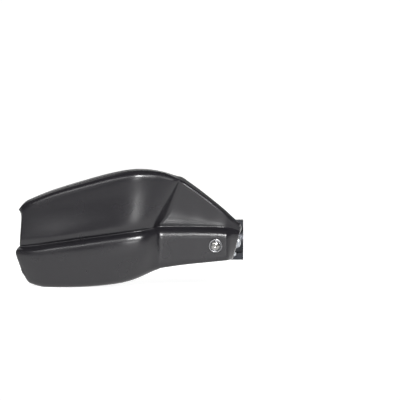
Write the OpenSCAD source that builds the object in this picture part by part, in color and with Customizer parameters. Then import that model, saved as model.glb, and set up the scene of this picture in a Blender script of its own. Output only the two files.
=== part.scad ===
// Right-hand motorcycle hand guard: a moulded shell on a formed steel strap,
// held by a handlebar clamp at its inner end and an expander plug in the bar end.
// Millimetres. X runs along the handlebar, the outer end is -X, the front is -Y, Z is up.
// The origin is the centre of the clamp's bore.

/* [Handlebar] */
// Outer diameter of the handlebar tube
bar_d = 22.2; // [22:0.1:22.4]
// Inner diameter of the handlebar tube at its end
bar_bore_d = 17.6; // [17:0.1:18]
// Distance from the clamp's centre to the inboard face of the strap's outer leg
reach = 245; // [235:1:258]

/* [Shell] */
// How far the shell reaches past the strap's outer leg
overhang = 16; // [14:0.5:20]
// Height of the shell
shell_h = 142.5; // [137:0.5:149]
// Wall thickness of the shell
wall = 3; // [2.5:0.1:3.5]
// Depth of the return along the top edge
top_return = 26; // [20:1:32]
// Depth of the return along the bottom edge
bottom_return = 22; // [16:1:28]

/* [Strap] */
// Thickness of the strap
strap_t = 4; // [3:0.5:5]
// Width of the strap
strap_w = 20; // [18:1:22]
// Distance from the handlebar's axis to the strap's front face
strap_off = 72.5; // [70:0.5:76]
// Radius of the outer bend, on the strap's middle line
outer_bend_r = 24; // [18:1:28]
// Radius of the inner bend, on the strap's middle line
inner_bend_r = 9; // [8:0.5:9.5]

/* [Clamp] */
// Length of the clamp along the handlebar
clamp_len = 22; // [20:1:26]
// Wall of the clamp around the handlebar
clamp_wall = 7; // [6:0.5:9]
// Split between the clamp's two halves
clamp_split = 2; // [1:0.5:3]

/* [Fasteners] */
// Thread diameter of the shell screws
shell_screw_d = 6; // [5:1:6]
// Diameter of the cup washer on the front
cup_d = 16.4; // [15:0.2:18]
// Thread diameter of the clamp's cap screws
cap_screw_d = 6; // [5:1:6]
// Thread diameter of the pivot bolt and the bar end bolt
bolt_d = 8; // [6:1:8]

/* [Hidden] */

$fn = 64;
snug = 0.05;        // radial clearance of a thread, a bar or a plug in its hole
screw_play = 0.3;   // radial clearance of a screw in a plain hole

// Smooth curve through points [x, value], evaluated at x
function slope(p, i) = i == 0 ? (p[1][1] - p[0][1]) / (p[1][0] - p[0][0])
    : i == len(p) - 1 ? (p[i][1] - p[i - 1][1]) / (p[i][0] - p[i - 1][0])
    : (p[i + 1][1] - p[i - 1][1]) / (p[i + 1][0] - p[i - 1][0]);
function hermite(a, b, ma, mb, h, t) = a * (1 + 2 * t) * (1 - t) * (1 - t) + b * t * t * (3 - 2 * t)
    + h * (ma * t * (1 - t) * (1 - t) - mb * t * t * (1 - t));
function span(p, x, i = 0) = i >= len(p) - 2 || x <= p[i + 1][0] ? i : span(p, x, i + 1);
function curve(p, x) = let(i = span(p, x), h = p[i + 1][0] - p[i][0], t = (x - p[i][0]) / h)
    hermite(p[i][1], p[i + 1][1], slope(p, i), slope(p, i + 1), h, t);
function mix(a, b, t) = a + (b - a) * t;

// Lines of the form, seen from the front, as [x, z]
top_fold = [[-255, 41], [-247, 44.8], [-240, 47.6], [-215, 57.2], [-176, 68.6], [-145, 76.8], [-122, 81.2],
    [-105, 81.6], [-90, 80], [-70.5, 75.6]];
diagonal = [[-66, 74.8], [-45, 60.2], [-16, 37.8], [-8.4, 31.2], [4.6, 19.8]];
panel_low = [[-257, 7], [-210, 13], [-150, 21.6], [-114, 27.4], [-95.6, 31]];
valley = [[-257.4, -3.4], [-239.4, -1.4], [-210, 3.4], [-150, 12.4], [-114, 17.6], [-97.4, 20]];
crest = [[-263, -8.2], [-239.4, -5.4], [-210, -0.2], [-150, 8.6], [-114, 13.2], [-93, 14.6]];
bottom_fold = [[-254.5, -42.2], [-240, -45], [-222, -45.8], [-176, -44.4], [-141, -41], [-123.6, -37.2],
    [-109.4, -31.8], [-93, -24]];
facet_top = [[-82.2, 35], [-64, 33.2], [-42, 30.4], [-24, 26.8], [-8.4, 23.8], [5.6, 18.4]];
groove = [[-92.6, 23], [-60, 23], [-24, 21.8], [-8.4, 20.6], [5.2, 16.4]];
arm_crest = [[-91, 14], [-60, 14.6], [-42, 14.8], [-8.4, 13.8], [4, 11]];
arm_bottom = [[-91, -22.8], [-61.9, -18.8], [-39, -16.4], [-8.4, -13.4], [-2, -12.6]];

// Distance of the form in front of the handlebar's axis, as [x, distance]
top_depth = [[-255, 66], [-240, 72.6], [-215, 80], [-180, 87.4], [-145, 93.4], [-128, 95], [-116, 94.6],
    [-100, 90.6], [-85, 86], [-70.5, 82]];
mid_depth = [[-256, 67.6], [-240, 73.8], [-215, 80.4], [-180, 87.4], [-145, 93.2], [-128, 94.8],
    [-116, 94.6], [-102, 91.4], [-83, 84.6]];
low_depth = [[-257, 72], [-240, 79], [-215, 86.6], [-180, 92], [-145, 96.2], [-126, 97], [-112, 95],
    [-95.6, 88.6]];
crest_depth = [[-263, 74.2], [-240, 87], [-215, 94.4], [-180, 99.8], [-145, 102.6], [-124, 102],
    [-108, 96.4], [-93, 84.5]];
floor_depth = [[-92.6, 73], [-66, 72.6], [-45, 72.6], [-8.4, 71], [5.6, 62]];

// The shell is drawn at the size that the photographed one has and then fitted to the sizes above
crest_past = 2;    // how far the outer end's return stands past the crest
drawn_reach = crest_past - crest[0][0];
drawn_h = 142.5;
drawn_off = 72.5;
kx = (reach + strap_t + overhang) / drawn_reach;
kz = shell_h / drawn_h;

bush_h = 6;
screw_x = -23.3;
screw_z = -0.7;
turn_x = -8.4;
turn_slope = 1.15;

// The arm's face lies parallel to the strap and turns back at its inner end
function arm_depth(x) = drawn_off + bush_h + wall - turn_slope * max(0, x - turn_x);
function shifted(d) = d + strap_off - drawn_off;

// A column of the shell's front: eight control points from the top fold to the bottom fold,
// each [x, distance in front, z]. s runs from 0 at the outer end to 1 at the crease.
corner_round = [2, 10];   // of the outer end's upper and lower corner
undercut = [1.6, 4];      // how far the panel turns in above the valley, and in it
function outer_x(line, s) = mix(line[0][0], line[len(line) - 1][0], s);
function outer_column(s) = let(
    xt = outer_x(top_fold, s), xm = outer_x(mid_depth, s), xl = outer_x(panel_low, s),
    xv = outer_x(valley, s), xc = outer_x(crest, s), xb = outer_x(bottom_fold, s),
    pulled_in = 1 - sin(90 * min(1, s / 0.05)),
    zt = curve(top_fold, xt) - corner_round[0] * pulled_in,
    zb = curve(bottom_fold, xb) + corner_round[1] * pulled_in,
    zl = curve(panel_low, xl), zv = curve(valley, xv), zc = curve(crest, xc),
    dl = curve(low_depth, xl), dc = curve(crest_depth, xc),
    db = curve(crest_depth, mix(xc, xb, 0.5)) - mix(7, 3, pulled_in)) [
    [xt, curve(top_depth, xt), zt],
    [xm, curve(mid_depth, xm), mix(zt, zl, 0.5)],
    [xl, dl, zl],
    [mix(xl, xv, 0.7), dl - undercut[0], mix(zl, zv, 0.7)],
    [xv, dl - undercut[1], zv],
    [xc, dc, zc],
    [mix(xc, xb, 0.4), dc - 0.5, mix(zc, zb, 0.5)],
    [xb, mix(db, arm_depth(-93), s * s * s), zb]];

// The facet stands out over the groove at the ridge's foot and runs out along the arm.
facet_lift = 2.7;
// s runs from 0 at the foot of the crease to 1 where the arm turns back, and to 2 at the inner edge
function inner_x(line, s) = s < 1 ? mix(line[0][0], turn_x, s)
    : mix(turn_x, line[len(line) - 1][0], s - 1);
function inner_column(s) = let(
    xt = inner_x(diagonal, s), xf = inner_x(facet_top, s), xg = inner_x(groove, s),
    xc = inner_x(arm_crest, s), xb = inner_x(arm_bottom, s),
    zt = curve(diagonal, xt), zf = curve(facet_top, xf), zg = curve(groove, xg), zc = curve(arm_crest, xc),
    zb = curve(arm_bottom, xb), lip = max(0, 1 - s), dg = curve(floor_depth, xg),
    dc = arm_depth(xc), db = arm_depth(mix(xb, xc, 0.6))) [
    [xt, curve(floor_depth, xt) + 3 * lip, zt],
    [mix(xt, xf, 0.5), curve(floor_depth, mix(xt, xf, 0.5)), mix(zt, zf, 0.5)],
    [xf, curve(floor_depth, xf), zf],
    [xg, dg + facet_lift * lip, zg + 1.4],
    [xg, dg, zg - 0.8],
    [xc, dc, zc],
    [mix(xc, xb, 0.5), mix(dc, db, 0.5), mix(zc, zb, 0.5)],
    [xb, db, zb]];

function bend(a, b, c, t) = (1 - t) * (1 - t) * a + 2 * t * (1 - t) * b + t * t * c;
ridge_in = 0.97;
outer_cols = 22;
inner_cols = 10;
round_cols = 3;
crease = outer_column(1);
foot = inner_column(0);
columns = concat(
    [for (i = [0 : 4]) outer_column(0.0125 * i)],
    [for (i = [1 : outer_cols]) outer_column(mix(0.05, ridge_in, i / outer_cols))],
    [for (i = [1 : round_cols])
        bend(outer_column(ridge_in), crease, mix(crease, foot, 0.45), i / round_cols)],
    [for (i = [0 : round_cols]) bend(mix(crease, foot, 0.6), foot, inner_column(0.06), i / round_cols)],
    [for (i = [1 : inner_cols]) inner_column(mix(0.06, 0.93, i / inner_cols))],
    [for (i = [1 : round_cols]) bend(inner_column(0.93), inner_column(1), inner_column(1.4), i / round_cols)],
    [inner_column(1.7), inner_column(2)]);

// Softens the corners of a column's control points: how much of the side above and below each
// corner its rounding takes, and its steps
soft = [[0.48, 0.48, 3], [0.45, 0.45, 2], [0.45, 0.45, 2], [0.4, 0.3, 2], [0.5, 0.42, 4], [0.48, 0.48, 3]];
function corner(c, i) =
    let(f = soft[i - 1], before = mix(c[i], c[i - 1], f[0]), after = mix(c[i], c[i + 1], f[1]))
    [for (k = [0 : f[2]]) bend(before, c[i], after, k / f[2])];
function rows(c) = [c[0], for (i = [1 : len(soft)]) each corner(c, i), c[len(soft) + 1]];
function fitted(p) = [p[0] < 0 ? p[0] * kx : p[0], -shifted(p[1]), p[2] * kz];
front = [for (c = columns) [for (p = rows(c)) fitted(p)]];

last_col = len(front) - 1;
last_row = len(front[0]) - 1;
function unit(v) = v / norm(v);
function at(i, j) = front[max(0, min(last_col, i))][max(0, min(last_row, j))];
function inside(k, last) = max(1, min(last - 1, k));
// Normal into the shell's hollow; the edge takes that of the next row, which no corner pinches
function inward(i, j) = let(a = inside(i, last_col), b = inside(j, last_row))
    unit(cross(at(a + 1, b) - at(a - 1, b), at(a, b + 1) - at(a, b - 1)));

// The loop of the front's edge: top, inner end, bottom, outer end
loop = concat([for (i = [0 : last_col]) [i, 0]], [for (j = [1 : last_row]) [last_col, j]],
    [for (i = [last_col - 1 : -1 : 0]) [i, last_row]], [for (j = [last_row - 1 : -1 : 1]) [0, j]]);
loop_n = len(loop);
function edge(k) = let(p = loop[(k + loop_n) % loop_n]) at(p[0], p[1]);
// Outward direction of the loop in the front view
function outward(k) = let(t = edge(k + 1) - edge(k - 1)) unit([-t[2], 0, t[0]]);

// The return behind the edge: [reach of the fold, spread outwards, depth], by the place on the loop
top_spread = [[-255, 7], [-247, 8.4], [-215, 9], [-150, 10.2], [-110, 9.4], [-85, 7.8], [-66, 6.4],
    [-20, 5.6], [4.6, 4.6]];
top_deep = [[-255, 0.6], [-235, 0.9], [-200, 1], [-90, 1], [-60, 0.8], [-20, 0.5], [4.6, 0.3]];
function share(v, from, to) = min(1, max(0, (v - from) / (to - from)));
function fold(k) = let(p = loop[k], v = edge(k), x = v[0] / (v[0] < 0 ? kx : 1), z = v[2] / kz,
    low = share(z, -4, -10), along = share(x, -252, -232), arm = share(x, -110, -70))
    p[1] == 0 ? [5.5, curve(top_spread, x), top_return * curve(top_deep, x)]
    : p[0] == last_col ? [1.6, mix(4.4, 1.6, min(1, (22 - z) / 10)), 8]
    : p[1] == last_row ? [mix(3, 6, along), mix(2.5, 5, along), bottom_return * mix(1, 0.55, arm)]
    : z > 20 ? [3, mix(2, 5.4, share(z, 30, 38)), top_return * 0.6]
    : [3, mix(2, 2.5, low), mix(top_return * 0.6, bottom_return, low)];

// One section of the return: outer face, rim and inner face, from the front's edge round to its back
fold_steps = 3;
function return_section(k) = let(p = loop[k], v = edge(k), f = fold(k), n = inward(p[0], p[1]),
    o = outward(k), run = unit(o - (o * n) * n), q = v + f[0] * run,
    tip = v + f[1] * o + [0, f[2], 0], d = unit(tip - q),
    ni = unit(d - (d * run) * run), a = acos(d * run), cut = wall * tan(a / 2),
    qi = q + wall * ni - cut * run, side = -sin(a) * run + cos(a) * ni)
    [for (t = [1 : fold_steps]) bend(v, q, q + f[0] * d, t / fold_steps), tip,
     tip + wall * side,
     for (t = [fold_steps : -1 : 1]) bend(v + wall * n, qi, qi + max(0.4, f[0] - cut) * d, t / fold_steps)];

module shell_wall() {
    ring_n = len(return_section(0));
    cols = last_col + 1;
    rws = last_row + 1;
    grid = cols * rws;
    outer_pts = [for (c = front) for (p = c) p];
    inner_pts = [for (i = [0 : last_col]) for (j = [0 : last_row]) at(i, j) + wall * inward(i, j)];
    ring_pts = [for (k = [0 : loop_n - 1]) for (p = return_section(k)) p];
    function out_i(i, j) = i * rws + j;
    function in_i(i, j) = grid + i * rws + j;
    function ring_i(k, m) = let(w = (k + loop_n) % loop_n, p = loop[w])
        m < 0 ? out_i(p[0], p[1]) : m >= ring_n ? in_i(p[0], p[1]) : 2 * grid + w * ring_n + m;
    faces = concat(
        [for (i = [0 : last_col - 1]) for (j = [0 : last_row - 1]) each [
            [out_i(i, j), out_i(i + 1, j), out_i(i + 1, j + 1)],
            [out_i(i, j), out_i(i + 1, j + 1), out_i(i, j + 1)],
            [in_i(i, j), in_i(i + 1, j + 1), in_i(i + 1, j)],
            [in_i(i, j), in_i(i, j + 1), in_i(i + 1, j + 1)]]],
        [for (k = [0 : loop_n - 1]) for (m = [-1 : ring_n - 1]) each [
            [ring_i(k, m), ring_i(k, m + 1), ring_i(k + 1, m + 1)],
            [ring_i(k, m), ring_i(k + 1, m + 1), ring_i(k + 1, m)]]]);
    polyhedron(concat(outer_pts, inner_pts, ring_pts), faces, convexity = 8);
}

// Places of the screws that hold the shell to the strap from behind, [x, z]
outer_boss = [-207 * kx, 4 * kz];
inner_boss = [-140 * kx, -2 * kz];
outer_boss_top = 83;
inner_boss_top = 100.5;
boss_r = 6;
isolator_h = 3;
insert_len = 6.5;
insert_r = 4;
hole_r = shell_screw_d / 2 + screw_play;
neck_r = shell_screw_d / 2 + 2;

// Local frames on the strap's front face, with +Z pointing forwards out of the shell
module front_frame() translate([screw_x, -strap_off, screw_z]) rotate([90, 0, 0]) children();
module boss_frame(p) translate([p[0], -strap_off, p[1]]) rotate([90, 0, 0]) children();

module boss(p, top) boss_frame(p) translate([0, 0, isolator_h])
    cylinder(r = boss_r, h = top - strap_off - isolator_h);
module insert_hole(p) boss_frame(p) translate([0, 0, isolator_h - 1])
    cylinder(r = insert_r, h = insert_len + 1);

module shell() color("#3c3d40") difference() {
    union() {
        shell_wall();
        boss(outer_boss, outer_boss_top);
        boss(inner_boss, inner_boss_top);
    }
    front_frame() cylinder(r = neck_r + snug, h = 2 * (bush_h + wall));
    insert_hole(outer_boss);
    insert_hole(inner_boss);
}

// The strap: an outer leg, a run behind the shell's front and an inner leg, with a round tab at each end
leg_x = -(reach + strap_t / 2);
outer_tab_r = strap_w / 2 + 2;
inner_tab_r = strap_w / 2;
lug_x = -5;
lug_t = 7;
tab_x = lug_x - strap_t / 2;
lug_y = bar_d / 2 + clamp_wall + inner_tab_r + 1.5;
mid_y = -(strap_off - strap_t / 2);

module strap_bar(x0, y0, x1, y1) translate([x0, y0, -strap_w / 2]) cube([x1 - x0, y1 - y0, strap_w]);
module strap_bend(x, r, start) translate([x, mid_y + r, 0]) rotate([0, 0, start]) rotate_extrude(angle = 90)
    translate([r - strap_t / 2, -strap_w / 2]) square([strap_t, strap_w]);
module tab(x, y, r) translate([x, y, 0]) rotate([0, 90, 0]) cylinder(r = r, h = strap_t, center = true);

module support_strap() color("#26272a") difference() {
    union() {
        tab(leg_x, 0, outer_tab_r);
        strap_bar(leg_x - strap_t / 2, mid_y + outer_bend_r, leg_x + strap_t / 2, 0);
        strap_bend(leg_x + outer_bend_r, outer_bend_r, 180);
        strap_bar(leg_x + outer_bend_r, mid_y - strap_t / 2, tab_x - inner_bend_r, mid_y + strap_t / 2);
        strap_bend(tab_x - inner_bend_r, inner_bend_r, 270);
        strap_bar(tab_x - strap_t / 2, mid_y + inner_bend_r, tab_x + strap_t / 2, -lug_y);
        tab(tab_x, -lug_y, inner_tab_r);
    }
    for (p = [[leg_x, 0, 0], [tab_x, -lug_y, 0]]) translate(p) rotate([0, 90, 0])
        cylinder(r = bolt_d / 2 + screw_play, h = 3 * strap_t, center = true);
    front_frame() cylinder(r = hole_r, h = 3 * strap_t, center = true);
    for (p = [outer_boss, inner_boss]) boss_frame(p) cylinder(r = hole_r, h = 3 * strap_t, center = true);
}

// Fasteners, each along +Z with its seat at z = 0
module hex(flats, h) cylinder(d = flats / cos(30), h = h, $fn = 6);
module ring(r_out, r_in, h) difference() {
    cylinder(r = r_out, h = h);
    translate([0, 0, -1]) cylinder(r = r_in, h = h + 2);
}
module button_screw(d, length) difference() {
    union() {
        rotate_extrude() intersection() {
            translate([0, -1.5 * d + 0.55 * d]) circle(r = 1.5 * d);
            square([0.875 * d, 0.55 * d]);
        }
        translate([0, 0, -length]) cylinder(d = d, h = length + 0.1);
    }
    translate([0, 0, 0.18 * d]) hex(0.66 * d, d);
}
module socket_screw(d, length) difference() {
    union() {
        cylinder(d = 1.6 * d, h = d - 0.5);
        translate([0, 0, d - 0.5]) cylinder(d1 = 1.6 * d, d2 = 1.6 * d - 1, h = 0.5);
        translate([0, 0, -length]) cylinder(d = d, h = length + 0.1);
    }
    translate([0, 0, 0.5 * d]) hex(0.78 * d, d);
}
// The nut's seat is at z = 0 and it lies below, towards -Z
module flange_nut(d, h) translate([0, 0, -h]) difference() {
    union() {
        hex(1.65 * d, h);
        translate([0, 0, h - 1.4]) cylinder(d = 2.3 * d, h = 1.4);
    }
    translate([0, 0, -1]) cylinder(r = d / 2 + snug, h = h + 2);
}

washer_t = 1.6;
cup_floor = 1;
cup_rim = 2.4;
nut_h = 6;
face_z = bush_h + wall;

module front_screw() color("#a9abad") front_frame() translate([0, 0, face_z + cup_floor])
    button_screw(shell_screw_d, cup_floor + face_z + strap_t + nut_h + 1);
module cup_washer() color("#8c8e91") front_frame() translate([0, 0, face_z]) rotate_extrude() {
    translate([hole_r, 0]) square([cup_d / 2 - hole_r - 0.8, cup_floor]);
    translate([cup_d / 2 - 1.7, 0]) square([1.7, cup_rim - 0.85]);
    translate([cup_d / 2 - 0.85, cup_rim - 0.85]) circle(r = 0.85);
}
module front_bush() color("#1b1b1c") front_frame() difference() {
    union() {
        cylinder(r = neck_r + 3, h = bush_h);
        cylinder(r = neck_r, h = face_z);
    }
    translate([0, 0, -1]) cylinder(r = hole_r, h = face_z + 2);
}
module front_nut() color("#8c8e91") front_frame() translate([0, 0, -strap_t])
    flange_nut(shell_screw_d, nut_h);

module shell_screw(p) color("#8c8e91") boss_frame(p) translate([0, 0, -strap_t - washer_t])
    rotate([180, 0, 0]) button_screw(shell_screw_d, washer_t + strap_t + isolator_h + insert_len - 1);
module shell_washer(p) color("#8c8e91") boss_frame(p) translate([0, 0, -strap_t - washer_t])
    ring(shell_screw_d * 1.05, hole_r, washer_t);
module isolator(p) color("#1b1b1c") boss_frame(p) ring(boss_r + 1, hole_r, isolator_h);
module insert(p) color("#b08d4a") boss_frame(p) translate([0, 0, isolator_h])
    ring(insert_r, shell_screw_d / 2 + snug, insert_len);
module outer_shell_screw() shell_screw(outer_boss);
module inner_shell_screw() shell_screw(inner_boss);
module outer_shell_washer() shell_washer(outer_boss);
module inner_shell_washer() shell_washer(inner_boss);
module outer_isolator() isolator(outer_boss);
module inner_isolator() isolator(inner_boss);
module outer_insert() insert(outer_boss);
module inner_insert() insert(inner_boss);

// The clamp: two halves around the handlebar, with a lug on the front one
bore_r = bar_d / 2 + snug;
clamp_r = bar_d / 2 + clamp_wall;
ear_z = bore_r + cap_screw_d / 2 + 3;
ear_edge = 4;
ear_end = ear_z + cap_screw_d / 2 + ear_edge;
ear_y = 9;
lug_r = strap_w / 2 - 1;
module clamp_blank() difference() {
    union() {
        rotate([0, 90, 0]) cylinder(r = clamp_r, h = clamp_len, center = true);
        translate([-clamp_len / 2, -ear_y, -ear_end]) cube([clamp_len, 2 * ear_y, 2 * ear_end]);
    }
    rotate([0, 90, 0]) cylinder(r = bore_r, h = 2 * clamp_len, center = true);
}
module clamp_half(y) intersection() {
    clamp_blank();
    translate([-clamp_len, y, -2 * clamp_r]) cube([2 * clamp_len, 2 * clamp_r, 4 * clamp_r]);
}
module clamp_screw_holes(r) for (z = [-ear_z, ear_z]) translate([0, 0, z]) rotate([90, 0, 0])
    cylinder(r = r, h = 4 * ear_y, center = true);
module clamp_body() color("#3a3b3d") difference() {
    union() {
        clamp_half(-2 * clamp_r - clamp_split / 2);
        difference() {
            union() {
                translate([lug_x, -lug_y, 0]) rotate([0, 90, 0]) cylinder(r = lug_r, h = lug_t);
                translate([lug_x, -lug_y, -lug_r]) cube([lug_t, lug_y - bore_r - 1, 2 * lug_r]);
            }
            rotate([0, 90, 0]) cylinder(r = bore_r, h = 2 * clamp_len, center = true);
        }
    }
    clamp_screw_holes(cap_screw_d / 2 + snug);
    translate([0, -lug_y, 0]) rotate([0, 90, 0])
        cylinder(r = bolt_d / 2 + screw_play, h = 2 * clamp_len, center = true);
}
module clamp_cap() color("#3a3b3d") difference() {
    clamp_half(clamp_split / 2);
    clamp_screw_holes(cap_screw_d / 2 + screw_play);
    for (z = [-ear_z, ear_z]) translate([0, ear_y, z]) rotate([-90, 0, 0])
        cylinder(r = 0.8 * cap_screw_d + screw_play, h = clamp_r);
}
module clamp_screw(z) color("#8c8e91") translate([0, ear_y, z]) rotate([-90, 0, 0])
    socket_screw(cap_screw_d, 2 * ear_y - 1);
module upper_clamp_screw() clamp_screw(ear_z);
module lower_clamp_screw() clamp_screw(-ear_z);

// Fastening of the strap to the clamp's lug; the bolt's head is on the inner side
module lug_frame(x) translate([x, -lug_y, 0]) rotate([0, 90, 0]) children();
spring_t = 2.1;
lock_h = 8;
module clamp_bolt() color("#8c8e91") lug_frame(lug_x + lug_t + washer_t)
    button_screw(bolt_d, washer_t + lug_t + strap_t + spring_t + lock_h + 1.5);
module clamp_bolt_washer() color("#8c8e91") lug_frame(lug_x + lug_t)
    ring(bolt_d, bolt_d / 2 + screw_play, washer_t);
module clamp_spring_washer() color("#5f6163") lug_frame(lug_x - strap_t - spring_t) difference() {
    ring(bolt_d * 0.92, bolt_d / 2 + screw_play, spring_t);
    translate([0, -0.5, -1]) cube([bolt_d, 1, spring_t + 2]);
}
module clamp_locknut() color("#8c8e91") lug_frame(lug_x - strap_t - spring_t) flange_nut(bolt_d, lock_h);

// Bar end: the bolt passes the strap, the weight and the split sleeve, and draws the cone into it
weight_len = 14;
weight_r = bar_d / 2 + 4;
sleeve_len = 24;
sleeve_r = bar_bore_d / 2 - 0.1;
cone_len = 12;
cone_seat = 6;
cone_tip_r = bolt_d / 2 + 1.2;
cone_taper = 0.27;
module bar_frame(x) translate([x, 0, 0]) rotate([0, 90, 0]) children();
module bar_end_bolt() color("#8c8e91") bar_frame(-reach - strap_t - washer_t) rotate([180, 0, 0])
    button_screw(bolt_d, washer_t + strap_t + weight_len + sleeve_len + cone_len - cone_seat + 2);
module bar_end_washer() color("#8c8e91") bar_frame(-reach - strap_t - washer_t)
    ring(bolt_d, bolt_d / 2 + screw_play, washer_t);
module bar_end_weight() color("#3a3b3d") bar_frame(-reach) difference() {
    union() {
        cylinder(r1 = weight_r - 1, r2 = weight_r, h = 1);
        translate([0, 0, 1]) cylinder(r = weight_r, h = weight_len - 2);
        translate([0, 0, weight_len - 1]) cylinder(r1 = weight_r, r2 = weight_r - 1, h = 1);
    }
    translate([0, 0, -1]) cylinder(r = bolt_d / 2 + screw_play, h = weight_len + 2);
}
module expander_sleeve() color("#1b1b1c") bar_frame(-reach + weight_len) difference() {
    cylinder(r = sleeve_r, h = sleeve_len);
    translate([0, 0, -1]) cylinder(r = bolt_d / 2 + screw_play, h = sleeve_len + 2);
    translate([0, 0, sleeve_len - cone_seat]) cylinder(r1 = cone_tip_r + snug, h = cone_len,
        r2 = cone_tip_r + snug + cone_len * cone_taper);
}
module expander_cone() color("#8c8e91") bar_frame(-reach + weight_len + sleeve_len - cone_seat) difference() {
    cylinder(r1 = cone_tip_r, r2 = cone_tip_r + cone_len * cone_taper, h = cone_len);
    translate([0, 0, -1]) cylinder(r = bolt_d / 2 + snug, h = cone_len + 2);
}

shell();
support_strap();
front_screw();
cup_washer();
front_bush();
front_nut();
outer_shell_screw();
outer_shell_washer();
outer_isolator();
outer_insert();
inner_shell_screw();
inner_shell_washer();
inner_isolator();
inner_insert();
clamp_body();
clamp_cap();
upper_clamp_screw();
lower_clamp_screw();
clamp_bolt();
clamp_bolt_washer();
clamp_spring_washer();
clamp_locknut();
bar_end_bolt();
bar_end_washer();
bar_end_weight();
expander_sleeve();
expander_cone();
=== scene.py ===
# Motorcycle hand guard: a moulded shell on a coated steel strap, with its clamp and its bar end kit.
# The part's own lines are written in millimetres, and everything in Blender is in metres.
import math

import bmesh
import bpy
from mathutils import Matrix, Vector


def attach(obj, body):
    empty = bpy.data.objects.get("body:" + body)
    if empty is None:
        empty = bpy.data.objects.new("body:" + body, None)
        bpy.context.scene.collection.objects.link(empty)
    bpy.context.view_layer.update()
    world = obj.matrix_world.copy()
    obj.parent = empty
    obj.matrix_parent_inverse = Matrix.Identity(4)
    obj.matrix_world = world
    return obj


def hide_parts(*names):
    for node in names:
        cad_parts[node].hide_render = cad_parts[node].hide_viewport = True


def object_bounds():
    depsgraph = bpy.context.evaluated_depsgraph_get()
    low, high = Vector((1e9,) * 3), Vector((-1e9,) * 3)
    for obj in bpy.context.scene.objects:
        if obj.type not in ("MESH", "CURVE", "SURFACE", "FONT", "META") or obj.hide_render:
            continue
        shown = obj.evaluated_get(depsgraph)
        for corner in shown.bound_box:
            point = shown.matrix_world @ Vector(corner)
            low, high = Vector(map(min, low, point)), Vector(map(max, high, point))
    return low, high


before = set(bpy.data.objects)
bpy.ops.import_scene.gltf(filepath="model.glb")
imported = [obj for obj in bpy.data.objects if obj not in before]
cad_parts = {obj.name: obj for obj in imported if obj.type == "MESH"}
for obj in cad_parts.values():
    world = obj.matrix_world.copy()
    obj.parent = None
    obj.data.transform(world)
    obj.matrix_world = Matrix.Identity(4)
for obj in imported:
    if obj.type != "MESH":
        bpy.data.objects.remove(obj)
cadLow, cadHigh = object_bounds()
mm = 0.001


# Small helpers

def mix(a, b, t):
    return a + (b - a) * t


def clamped(value, low, high):
    return max(low, min(high, value))


def share(value, start, end):
    return clamped((value - start) / (end - start), 0, 1)


def linear(hexColour):
    # sRGB hex to the linear colour that Blender's sockets take
    made = []
    for i in (1, 3, 5):
        c = int(hexColour[i:i + 2], 16) / 255
        made.append(c / 12.92 if c <= 0.04045 else ((c + 0.055) / 1.055) ** 2.4)
    return (*made, 1)


def newObject(name, mesh):
    made = bpy.data.objects.new(name, mesh)
    bpy.context.scene.collection.objects.link(made)
    return made


def meshObject(name, points, faces, sharpAngle=35):
    # points in mm
    mesh = bpy.data.meshes.new(name)
    mesh.from_pydata([Vector(p) * mm for p in points], [], faces)
    work = bmesh.new()
    work.from_mesh(mesh)
    bmesh.ops.remove_doubles(work, verts=work.verts, dist=1e-7)
    bmesh.ops.recalc_face_normals(work, faces=work.faces)
    work.to_mesh(mesh)
    work.free()
    mesh.shade_smooth()
    mesh.set_sharp_from_angle(angle=math.radians(sharpAngle))
    return newObject(name, mesh)


def combine(thing, tool, operation):
    # UNION, DIFFERENCE or INTERSECT, baked into the mesh; the tool is then thrown away
    cut = thing.modifiers.new("cut", "BOOLEAN")
    cut.operation = operation
    cut.solver = "MANIFOLD"
    cut.object = tool
    graph = bpy.context.evaluated_depsgraph_get()
    mesh = bpy.data.meshes.new_from_object(thing.evaluated_get(graph))
    thing.modifiers.clear()
    thing.data = mesh
    bpy.data.objects.remove(tool)


# Camera, floor and light

view = {
    "lens": 300,
    "aim": (-42, -90, 55),     # the point in the middle of the picture
    "rise": 4,                 # degrees above the horizon
    "span": 480,               # width that the picture takes in at the shell
}


def makeCamera():
    data = bpy.data.cameras.new("camera")
    data.lens = view["lens"]
    camera = newObject("camera", data)
    rise = math.radians(view["rise"])
    back = Vector((0, -math.cos(rise), math.sin(rise)))
    distance = view["span"] * mm * view["lens"] / data.sensor_width
    camera.location = Vector(view["aim"]) * mm + back * distance
    camera.rotation_euler = back.to_track_quat("Z", "Y").to_euler()
    bpy.context.scene.camera = camera
    print("camera:", view["lens"], "mm lens")


studio = {
    "skyColour": "#ffffff",
    "skyStrength": 0.12,
    "floorColour": "#c4c4c3",
    "floorRoughness": 0.9,
    "floorRings": (0.6, 1.4, 3.0, 5.0),    # metres; the floor starts to turn up at the last
    "floorReach": 7.5,
    "floorRise": 1.6,
    "floorSegments": 96,
    "turnSteps": 12,
    "floorGlow": (0.06, 0.88),             # in front of the part, and behind it as its backdrop
    "glowSpan": (-1.5, -0.9),              # metres in front of the bar over which the glow changes
    # place, point aimed at, width and height in metres, watts, spread in degrees
    "softboxes": [
        ((0.42, -1.8, 1.1), (-0.1, -0.05, 0.0), 0.8, 0.5, 9, 60),
        ((0.45, -2.0, 0.2), (-0.1, -0.05, 0.0), 0.45, 0.45, 0.7, 90),
        ((0.55, -4.7, 0.45), (-0.1, -0.05, 0.0), 1.0, 0.6, 2.4, 60),
        ((-0.3, -3.0, 1.3), (-0.1, -0.05, 0.0), 5.0, 0.9, 5, 180),
        ((-1.25, -1.5, 1.3), (-0.15, -0.05, 0.0), 1.9, 0.3, 4, 90),
        ((-1.7, -1.7, 0.6), (-0.15, -0.05, 0.0), 1.6, 1.0, 1.8, 120),
        ((-1.0, 1.3, 1.3), (-0.1, 0.0, 0.0), 0.8, 0.8, 2, 180),
    ],
}


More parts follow.
